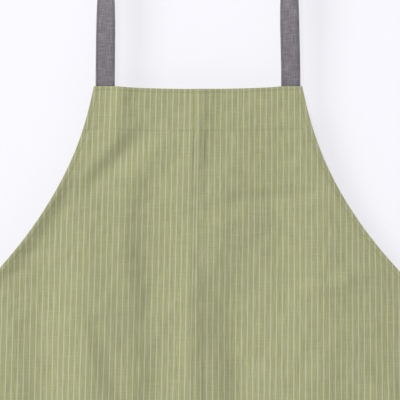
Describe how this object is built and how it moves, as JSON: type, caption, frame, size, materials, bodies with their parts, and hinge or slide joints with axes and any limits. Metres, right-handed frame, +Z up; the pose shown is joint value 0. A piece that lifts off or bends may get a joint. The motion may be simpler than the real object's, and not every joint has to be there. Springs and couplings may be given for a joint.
{
  "type": "bib apron on a hook rail",
  "caption": "Striped cotton bib apron hanging by its neck strap from two coat hooks on a short wooden wall rail, with patch pockets and waist ties.",
  "frame": {"origin": "middle of the rail board's back face, on the wall", "axes": "+Z up, +Y into the wall, -Y to the front, +X to the right as seen from the front"},
  "size_m": [0.7386, 0.1002, 1.367],
  "materials": {
    "green_stripe": "yarn-dyed green cotton with thin pale vertical stripes",
    "green_plain": "green cotton facing and binding",
    "grey_chambray": "charcoal-grey chambray tape, edge-stitched",
    "rail_wood": "oiled oak, satin",
    "hook_steel": "satin steel",
    "screw_steel": "zinc-plated steel"
  },
  "bodies": {
    "rail": {"rail_board": "rail_wood", "hook_plate_left": "hook_steel", "hook_left": "hook_steel", "plate_screw_left_top": "screw_steel", "plate_screw_left_bottom": "screw_steel", "wall_screw_left": "screw_steel", "hook_plate_right": "hook_steel", "hook_right": "hook_steel", "plate_screw_right_top": "screw_steel", "plate_screw_right_bottom": "screw_steel", "wall_screw_right": "screw_steel"},
    "neck_loop": {"neck_strap": "grey_chambray"},
    "apron": {"top_facing": "green_plain", "strap_end_left": "grey_chambray", "front_panel_left": "green_stripe", "armhole_binding_left": "green_plain", "pocket_left": "green_stripe", "waist_tie_end_left": "grey_chambray", "strap_end_right": "grey_chambray", "front_panel_right": "green_stripe", "armhole_binding_right": "green_plain", "pocket_right": "green_stripe", "waist_tie_end_right": "grey_chambray"},
    "tie_left": {"waist_tie_left": "grey_chambray"},
    "tie_right": {"waist_tie_right": "grey_chambray"}
  },
  "joints": [
    {"name": "loop_lift", "type": "slide", "parent": "rail", "child": "neck_loop", "axis": [0, 0, 1], "range_m": [0, 0.03]},
    {"name": "apron_swing", "type": "hinge", "parent": "neck_loop", "child": "apron", "pos_m": [0, -0.0368, -0.206], "axis": [-1, 0, 0], "range_deg": [-0.8, 80]},
    {"name": "tie_left_swing", "type": "hinge", "parent": "apron", "child": "tie_left", "pos_m": [-0.3568, -0.0383, -0.558], "axis": [0, 1, 0], "range_deg": [0, 110]},
    {"name": "tie_right_swing", "type": "hinge", "parent": "apron", "child": "tie_right", "pos_m": [0.3568, -0.0383, -0.558], "axis": [0, -1, 0], "range_deg": [0, 110]}
  ]
}
